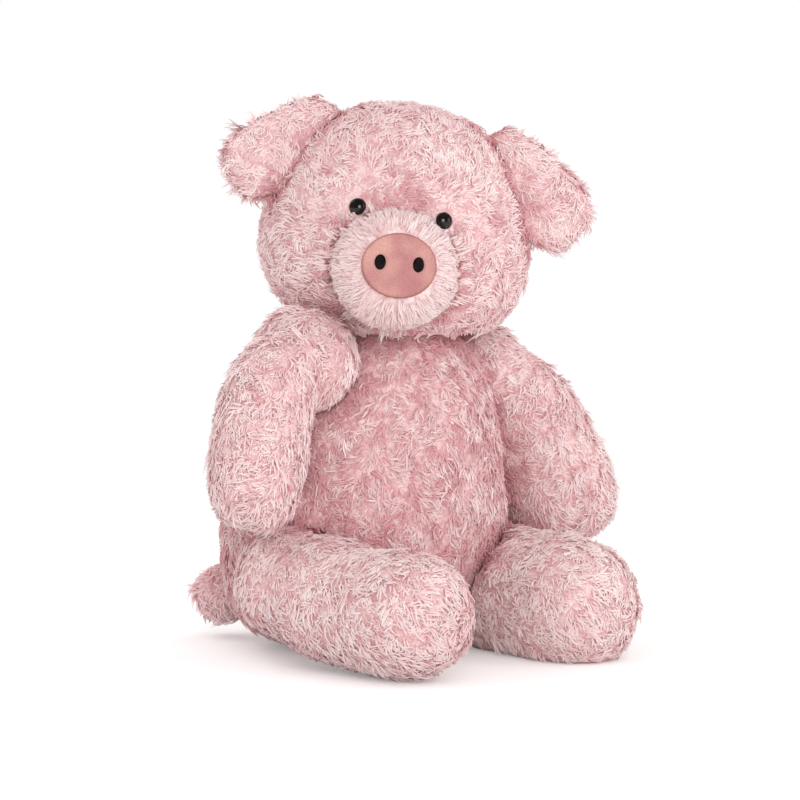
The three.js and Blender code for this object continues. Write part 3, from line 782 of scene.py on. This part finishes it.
def holdsEar(line, rootLine):
    # an oval round the ear's centreline: (off along the root / half width)^2 + (the rest / half depth)^2 < 1
    def holds(points, grown=0.0):
        local = toHead(points).reshape(-1, 3)
        off = local[:, None] - line["points"][None, ::12]
        nearest = np.linalg.norm(off, axis=-1).argmin(axis=1)
        off = off[np.arange(len(local)), nearest]
        wide = off @ rootLine
        deep = np.linalg.norm(off - wide[:, None] * rootLine, axis=-1)
        inside = (wide / (ear["halfWidth"] + grown)) ** 2 + (deep / (ear["halfDepth"] + grown)) ** 2 < 1
        return inside.reshape(points.shape[:-1])
    return holds


for word, side in (("left", 1), ("right", -1)):
    line = centreline(np.array([ear["root"], ear["middle"], ear["tip"][word]]) * (side, 1, 1))
    rootLine = unit(np.cross(alongLine(line, np.array(0.0))[1], (0, 1, 0)))
    earHolds[word] = holdsEar(line, rootLine)
    for panel, layer in (("front", side), ("back", -side)):
        form = {**ear, "line": line, "across": rootLine * side, "layer": layer}
        rows = fromHead(pushedOut(head, stuffedRings(form, inset, 32, 40), cloth["seamGap"] - inset))
        addSkin(f"ear{word.title()}{panel.title()}Skin", rows, f"ear_{word}", [f"ear_{word}_{panel}"], "backing")
print("stage: skins")

# Pile: locks of hair in clumps


def smoothNoise(points, size, seed):
    # the sum of eight sine waves of about one length in random directions
    rng = np.random.default_rng(seed)
    waves = unit(rng.normal(size=(8, 3))) * (2 * np.pi / size * rng.uniform(0.7, 1.4, (8, 1)))
    return np.sin(points @ waves.T + rng.uniform(0, 2 * np.pi, 8)).sum(axis=-1) / 2


def scattered(piece, count, rng):
    # points spread evenly over a mesh by area, each with the smooth normal there
    mesh = piece.data
    mesh.calc_loop_triangles()
    points, normals = fetched(mesh.vertices, "co"), fetched(mesh.vertices, "normal")
    corners = fetched(mesh.loop_triangles, "vertices", int)
    a, b, c = (points[corners[:, k]] for k in range(3))
    areas = np.cumsum(np.linalg.norm(np.cross(b - a, c - a), axis=1) / 2)
    total = int(count * areas[-1])
    picked = np.searchsorted(areas, (np.arange(total) + rng.uniform(size=total)) / total * areas[-1])
    picked = np.minimum(picked, len(corners) - 1)
    u, v = rng.uniform(size=(2, total, 1))
    u, v = np.where(u + v > 1, 1 - u, u), np.where(u + v > 1, 1 - v, v)
    place = a[picked] + (b - a)[picked] * u + (c - a)[picked] * v
    na, nb, nc = (normals[corners[picked, k]] for k in range(3))
    return place, unit(na * (1 - u - v) + nb * u + nc * v)


lockPlaces = np.array([0.0, 0.38, 0.78, 1.0])   # of the three rims and the tip, from root to tip
lockWidths = np.array([0.85, 1.0, 0.72])
lockRims = [3, 3, 3, 1]
flatness = 0.6
softShading = 0.46   # share of the cloth's own direction in the direction that the top of a hair is shaded by


def perPoint(values):
    return np.repeat(values, lockRims, axis=1)


def lockMesh(name, locks, finish, body):
    # a lock's middle line is
    # root + normal * rise (2 t - 1.3 t^2) + sweep t^1.2 + side * curl (sin(phase + 3 t) - sin(phase));
    # round it lies a flat three-sided tube that narrows to a point
    t = lockPlaces[None, :, None]
    n, s = locks["normal"][:, None], locks["sweep"][:, None]
    side = unit(np.cross(n, s))
    rise, curl, phase = (locks[key][:, None, None] for key in ("rise", "curl", "phase"))
    middle = locks["root"][:, None] + n * rise * (2 * t - 1.3 * t**2) + s * t**1.2
    middle = middle + side * curl * (np.sin(phase + 3 * t) - np.sin(phase))
    slope = n * rise * (2 - 2.6 * t) + s * 1.2 * np.maximum(t, 0.02) ** 0.2 + side * curl * 3 * np.cos(phase + 3 * t)
    slope = unit(slope)
    flat = unit(np.cross(slope, n))
    ridge = np.cross(flat, slope)
    angle = np.radians([90.0, 210.0, 330.0])[:, None]
    wide = (locks["width"][:, None] * lockWidths[None])[..., None, None]
    rim = flat[:, :3, None] * np.cos(angle) + ridge[:, :3, None] * (flatness * np.sin(angle))
    rim = middle[:, :3, None] + rim * wide
    count = len(middle)
    points = np.concatenate([rim.reshape(count, 9, 3), middle[:, 3:]], axis=1)
    points[..., 2] = np.maximum(points[..., 2], 0.0003)
    ring = np.array([[0, 3, 4, 1], [1, 4, 5, 2], [2, 5, 3, 0]])
    quads = np.concatenate([ring, ring + 3])
    triangles = np.array([[6, 9, 7], [7, 9, 8], [8, 9, 6], [0, 1, 2]])
    base = np.arange(count)[:, None, None] * 10
    uv = np.empty((count, 10, 2))
    uv[..., 0] = locks["tone"][:, None]
    uv[..., 1] = np.repeat(lockPlaces, lockRims)[None]
    around = np.concatenate([unit(rim - middle[:, :3, None]).reshape(count, 9, 3), slope[:, 3:]], axis=1)
    sidewards, up = perPoint(flat), perPoint(ridge)
    one, two = (
        unit(n * softShading + (unit(0.72 * turned + 0.69 * up) + around) / 2 * (1 - softShading))
        for turned in (-sidewards, sidewards)
    )
    under = unit(0.7 * perPoint(slope) - 0.7 * up + 0.2 * n)
    shading = [
        np.stack([way[:, face] for way, face in zip(ways, faces)], axis=1).reshape(-1, 3)
        for ways, faces in (((one, under, two) * 2, quads), ((one, under, two, -up), triangles))
    ]
    quads, triangles = (quads[None] + base).reshape(-1, 4), (triangles[None] + base).reshape(-1, 3)
    piece = meshPiece(name, points.reshape(-1, 3), quads, triangles, uv.reshape(-1, 2))
    piece.data.normals_split_custom_set(np.concatenate(shading))
    piece.data.materials.append(finishes[finish])
    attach(piece, body)
    return piece


def growPile(name, skin, body, pile, flow, hidden=(), pressing=(), trims=()):
    # pile: clumps to a square metre, locks to a clump and their sizes; flow(points, normals) is the combing
    # direction; hidden tells where nothing grows, pressing where the pile is squashed and its tone darkened as
    # painted crease shade, trims where it is shorter
    seed = pile["seed"]
    rng = np.random.default_rng(seed)
    places, normals = scattered(skins[skin], pile["clumps"], rng)
    keep = places[:, 2] > 0.0012
    for holds in hidden:
        keep &= ~holds(places)
    places, normals = places[keep], normals[keep]
    count, each = len(places), pile["locks"]
    combed = flow(places, normals)
    combed = unit(combed - normals * (combed * normals).sum(axis=1, keepdims=True))
    turn = pile["swirl"] * smoothNoise(places, pile["swirlSize"], seed)
    turn = turn + pile["eddy"] * smoothNoise(places, pile["eddySize"], seed + 1)
    turn = turn + pile["tousle"] * rng.normal(size=count)
    combed = combed * np.cos(turn)[:, None] + np.cross(normals, combed) * np.sin(turn)[:, None]
    sideways = np.cross(normals, combed)
    size = rng.uniform(0.8, 1.15, count) * (1 + pile["mound"] * smoothNoise(places, pile["eddySize"], seed + 2))
    size = np.maximum(size, 0.4)
    for trim in trims:
        size = size * trim(places)
    squash = np.ones(count)
    for holds in pressing:
        squash = np.where(holds(places + normals * pile["rise"] * 0.8), pile["squash"], squash)
    tone = pile["tone"] + pile["mottle"] * smoothNoise(places, pile["mottleSize"], seed + 5)
    tone = tone + pile["toneSpread"] * rng.normal(size=count)
    # painted crease shade: the tone drops where the pile lies close to a pressing form, so creases look darker
    for grown in pile["paintedShadeReach"]:
        for holds in pressing:
            tone = tone - pile["creaseShade"] / 3 * holds(places + normals * pile["rise"], grown)

    def spread(values):
        return np.repeat(values, each, axis=0)

    total = count * each
    away, around = pile["clumpRadius"] * np.sqrt(rng.uniform(size=total)), rng.uniform(0, 2 * np.pi, total)
    offset = spread(combed) * (away * np.cos(around))[:, None] + spread(sideways) * (away * np.sin(around))[:, None]
    wander = rng.normal(size=(total, 2)) * pile["frizz"]
    sweep = spread(combed) * (1 + wander[:, :1]) + spread(sideways) * wander[:, 1:]
    length = pile["length"] * spread(size) * rng.uniform(0.75, 1.2, total)
    locks = {
        "root": spread(places) + offset - spread(normals) * pile["rooted"],
        "normal": spread(normals),
        "sweep": sweep * length[:, None] - offset * pile["gather"],
        "rise": pile["rise"] * spread(size * squash) * rng.uniform(0.6, 1.25, total),
        "curl": pile["curl"] * spread(size * squash) * rng.uniform(0.4, 1.4, total),
        "phase": spread(rng.uniform(0, 2 * np.pi, count)) + rng.normal(size=total) * 0.5,
        "width": pile["width"] * rng.uniform(0.65, 1.3, total),
        "tone": np.clip(spread(tone) + 0.10 * rng.normal(size=total), 0.01, 0.99),
    }
    off = locks["root"] - locks["root"].mean(axis=0)
    order = np.argsort(np.arctan2(off[:, 1], off[:, 0]), kind="stable")
    panels = int(np.ceil(total / 12000))
    for number, part in enumerate(np.array_split(order, panels)):
        label = name if panels == 1 else f"{name}{number + 1}"
        piece = lockMesh(label, {key: values[part] for key, values in locks.items()}, pile["finish"], body)
    print("pile:", name, total, "locks in", panels, "panels")


longPile = {
    "clumps": 96000, "locks": 7, "clumpRadius": 0.0021, "length": 0.0042, "rise": 0.0022, "curl": 0.0012,
    "width": 0.00043, "gather": 0.35, "frizz": 0.26, "tousle": 0.30, "mound": 0.22, "squash": 0.45,
    "swirl": 0.55, "swirlSize": 0.030, "eddy": 0.40, "eddySize": 0.009,
    "tone": 0.56, "toneSpread": 0.13, "mottle": 0.12, "mottleSize": 0.014,
    # how much painted crease shade darkens the tone, and how far from a pressing form it reaches
    "rooted": 0.0006, "creaseShade": 0.70, "paintedShadeReach": (0.002, 0.005, 0.009),
    "finish": "pink", "slot": "pink_plush", "seed": 11,
}
shortPile = {
    **longPile, "clumps": 160000, "clumpRadius": 0.0014, "length": 0.0058, "rise": 0.0019, "curl": 0.0003,
    "width": 0.00036, "swirl": 0.10, "eddy": 0.08, "mound": 0.10, "tousle": 0.10, "frizz": 0.14, "mottle": 0.08,
    "finish": "pale", "slot": "pale_plush", "seed": 31,
}
earPile = {**longPile, "clumps": 132000, "length": 0.0040, "rise": 0.0017, "swirl": 0.5}
# the tail's pile takes light rose colours and a tone near white: painted light against the shade of the hip and leg
# over it, with no painted crease shade
tailPile = {**longPile, "tone": 0.97, "creaseShade": 0.0, "finish": "rose", "slot": "rose_plush", "seed": 71}

eyeShape = {
    "spacing": 0.0385, "shift": -0.0012, "height": 0.0024, "sink": 0.0018, "radius": 0.0039, "dome": 0.0031,
    "shank": 0.0016, "shankLength": 0.010, "fit": 0.0003,
}


def eyePlace(side):
    # the front of the head at (x, z), seen from the front: y = -b sqrt(g^2 - (x / a)^2)
    x, z = side * eyeShape["spacing"] / 2 + eyeShape["shift"], eyeShape["height"]
    along = z / head["halfHeight"]
    grow = swelling(head, along) * (1 + head["taper"] * along)
    y = -head["halfDepth"] * np.sqrt(grow**2 - (x / head["halfWidth"]) ** 2)
    place = np.array([x, y, z])
    outward = unit(place / np.array([head[key] for key in ("halfWidth", "halfDepth", "halfHeight")]) ** 2)
    return fromHead(place - outward * eyeShape["sink"]), headSpin @ outward


eyeSpots = [eyePlace(side) for side in (1, -1)]


def placedOn(rows, place, outward):
    # local x is sideways, local y is upwards and local z is outwards
    sideways = unit(np.cross((0.0, 0.0, 1.0), outward))
    return place + rows @ np.array([sideways, np.cross(outward, sideways), outward])


def lathed(profile, sides):
    # ring j, side i: (r cos i, r sin i, h), with r and h from row j of the profile
    turn = np.linspace(0, 2 * np.pi, sides, endpoint=False)
    radius, height = np.array(profile, float).T[..., None]
    return np.stack([radius * np.cos(turn), radius * np.sin(turn), height + 0 * turn], axis=-1)


def eyeProfile():
    # a straight shank with a narrowed end, then a dome: r = R cos a, h = H sin a
    dome = np.linspace(0, np.pi / 2, 20)
    shank, length, lift = eyeShape["shank"], eyeShape["shankLength"], 0.0001
    stem = [(0, -length), (shank * 0.7, -length), (shank, -length + 0.001), (shank, -lift)]
    brim = [(eyeShape["radius"] * 0.95, 0.0)]
    return stem + brim + [(eyeShape["radius"] * np.cos(a), lift + eyeShape["dome"] * np.sin(a)) for a in dome]


for word, (spot, outward) in zip(("left", "right"), eyeSpots):
    rows = placedOn(lathed(eyeProfile(), 48), spot + outward * eyeShape["fit"], outward)
    addPiece(f"eye{word.title()}", rows, "head", [f"eye_{word}"], "eye")

snout = {
    "halfWidth": 0.0163, "halfHeight": 0.0141, "rim": 0.0024, "edge": 0.0011, "crown": 0.0014, "raise": 0.0010,
    "turn": 5.0, "front": -0.06715, "drop": -0.022, "sideways": 0.0010, "stitches": 44, "pucker": 0.012,
    "nostril": (0.0024, 0.0033), "spacing": 0.0164, "nostrilRaise": 0.0009,
    "pocket": 0.0009, "pocketRim": 0.0009, "stand": 0.0005,
}
nostrilWidth, nostrilHeight = snout["nostril"]


def snoutHeight(x, y):
    # the crown 1 - r^2 over the rim, less a rounded pocket at each nostril
    r = np.sqrt((x / snout["halfWidth"]) ** 2 + (y / snout["halfHeight"]) ** 2)
    height = snout["rim"] + snout["crown"] * np.clip(1 - r**2, 0, 1)
    for side in (-1, 1):
        off = ((x - side * snout["spacing"] / 2) / (nostrilWidth + snout["pocketRim"])) ** 2
        off = off + ((y - snout["nostrilRaise"]) / (nostrilHeight + snout["pocketRim"])) ** 2
        height = height - snout["pocket"] * np.clip(1.6 - 1.6 * off, 0, 1)
    return height


def snoutRows(sides=120):
    # front rings r = 0..1 at the height above, a quarter-round edge that puckers at each stitch, and a flat back
    turn = np.linspace(0, 2 * np.pi, sides, endpoint=False)
    front = np.linspace(0, 1, 46)[:, None]
    bend = np.linspace(0, np.pi / 2, 9)[1:, None]
    shrink = (snout["halfWidth"] - snout["edge"]) / snout["halfWidth"]
    x = front * shrink * snout["halfWidth"] * np.cos(turn)
    y = front * shrink * snout["halfHeight"] * np.sin(turn)
    face = np.stack([x, y, snoutHeight(x, y)], axis=-1)
    pucker = 1 - snout["pucker"] * (0.5 + 0.5 * np.sin(turn * snout["stitches"])) * np.sin(bend)
    out = (shrink + (1 - shrink) * np.sin(bend)) * pucker
    height = face[-1, :, 2] - snout["edge"] * (1 - np.cos(bend))
    edge = [out * snout["halfWidth"] * np.cos(turn), out * snout["halfHeight"] * np.sin(turn), height]
    edge = np.stack(edge, axis=-1)
    low = edge[-1] * (1, 1, 0)
    back = [low * (scale, scale, 1) for scale in (1.0, 0.96, 0.5)] + [low * 0]
    return np.concatenate([face, edge, np.array(back)])


def onSnout(rows):
    # turned a little in its own plane, then set on the flat front of the muzzle
    rows = rows @ spin("z", -snout["turn"])
    up = snout["drop"] + snout["raise"] + rows[..., 1]
    return fromHead(np.stack([rows[..., 0] + snout["sideways"], snout["front"] - rows[..., 2], up], axis=-1))


padRows = snoutRows()
padPlace = np.clip(np.linspace(0, 1.16, len(padRows)), 0, 1)
padUv = np.stack([np.full(padRows.shape[:2], 0.5), np.repeat(padPlace[:, None], padRows.shape[1], axis=1)], axis=-1)
padUv = np.concatenate([padUv[:1, 0], padUv[1:-1].reshape(-1, 2), padUv[-1:, 0]])
addPiece("snoutPad", onSnout(padRows), "head", ["snout_pad"], "suede", padUv)


def nostrilRows(side, rings=22, sides=44, ridge=0.00008, thread=0.00016):
    # an oval dome of satin stitch: h = stand (1 - r^2) + ridge |sin| across its height, over a flat back
    turn = np.linspace(0, 2 * np.pi, sides, endpoint=False)
    r = np.sin(np.linspace(0, np.pi / 2, rings))[:, None]
    x, y = r * nostrilWidth * np.cos(turn), r * nostrilHeight * np.sin(turn)
    h = 0.0004 + snout["stand"] * (1 - r**2) + ridge * np.abs(np.sin(y / thread)) * (1 - r**4)
    top = np.stack([x, y, h], axis=-1)
    rows = np.concatenate([top, np.stack([top[-1] * (1, 1, -1), top[-1] * (0, 0, -1)])])
    place = np.array([side * snout["spacing"] / 2, snout["nostrilRaise"]])
    return onSnout(rows + (*place, snoutHeight(*place)))


for word, side in (("left", 1), ("right", -1)):
    addPiece(f"nostril{word.title()}", nostrilRows(side), "head", [f"nostril_{word}"], "thread")
print("stage: face")


def nearEyes(points):
    close = np.zeros(points.shape[:-1], bool)
    for spot, outward in eyeSpots:
        off = points - spot
        off = off - outward * (off @ outward)[..., None]
        close |= (np.linalg.norm(off, axis=-1) < 0.0047) & (np.linalg.norm(points - spot, axis=-1) < 0.012)
    return close


def shortByEyes(points):
    share = np.ones(len(points))
    for spot, outward in eyeSpots:
        away = np.linalg.norm(points - spot, axis=-1)
        share = np.minimum(share, 0.45 + 0.55 * np.clip((away - 0.005) / 0.008, 0, 1))
    return share


def downwards(points, normals):
    return np.broadcast_to([0.0, 0.0, -1.0], points.shape) + normals * 0.01


def fromMuzzle(points, normals):
    return points - fromHead(np.array([0.0, muzzle["middle"], muzzle["drop"]]))


def overHead(points, normals):
    # away from the muzzle, but straight down near the neck seam
    low = np.clip(1 - (points[:, 2:] - head["neck"]) / 0.014, 0, 1)
    return unit(fromMuzzle(points, normals)) * (1 - low) + np.array([0.0, 0.0, -1.0]) * low


def heading(start, end, fall):
    # one direction all over, and somewhat downwards
    return lambda points, normals: np.broadcast_to(unit(end - start), points.shape) + np.array([0, 0, -fall])


def alongLimb(form):
    return heading(form["line"]["points"][0], form["line"]["points"][-1], 0.35)


def alongEar(word):
    side = 1 if word == "left" else -1
    return heading(*(fromHead(np.array(place) * (side, 1, 1)) for place in (ear["root"], ear["tip"][word])), 0.5)


def underNeck(points):
    return points[..., 2] > torso["neck"] - 0.0015


def onNeckSeam(points):
    return points[..., 2] < head["neck"] + 0.0012


def onSnoutSeat(points):
    local = toHead(points)
    flat = ((local[..., 0] - snout["sideways"]) / 0.0150) ** 2 + ((local[..., 2] + 0.0210) / 0.0128) ** 2 < 1
    return flat & (local[..., 1] < -0.060)


growPile(
    "bodyPile", "bodySkin", "torso", {**longPile, "tone": 0.20}, downwards,
    hidden=[underNeck, ballsHold], pressing=[headHolds, *[limbHolds(form) for form in limbs]],
)
growPile(
    "headPile", "headSkin", "head", {**longPile, "seed": 21}, overHead,
    hidden=[onNeckSeam, muzzleHolds, nearEyes], pressing=[muzzleHolds, torsoHolds, *earHolds.values()],
    trims=[shortByEyes],
)
growPile(
    "muzzlePile", "muzzleSkin", "head", shortPile, fromMuzzle,
    hidden=[lambda points: headHolds(points, -0.0030), onSnoutSeat, nearEyes],
)
for number, (word, other) in enumerate((("left", "right"), ("right", "left"))):
    # the legs' pile takes a lighter tone than the arms': painted light, making up for the less light that falls on
    # the legs
    for limb, forms, seed, tone, neighbours in (
        ("arm", arms, 33, 0.56, [headHolds, limbHolds(legs[word])]),
        ("leg", legs, 43, 0.76, [limbHolds(arms[word]), limbHolds(legs[other])]),
    ):
        label = f"{limb}{word.title()}"
        growPile(
            f"{label}Pile", f"{label}Skin", f"{limb}_{word}", {**longPile, "tone": tone, "seed": seed + number},
            alongLimb(forms[word]), hidden=[lambda points: torsoHolds(points, -0.004)],
            pressing=[torsoHolds, *neighbours],
        )
    for back, panel in enumerate(("Front", "Back")):
        label = f"ear{word.title()}{panel}"
        growPile(
            f"{label}Pile", f"{label}Skin", f"ear_{word}", {**earPile, "seed": 55 + 2 * number + back},
            alongEar(word), hidden=[lambda points: headHolds(points, -0.002)], pressing=[headHolds],
        )
growPile("tailPile", "tailSkin", "tail", tailPile, downwards, hidden=[torsoHolds], pressing=[torsoHolds])
print("stage: pile")
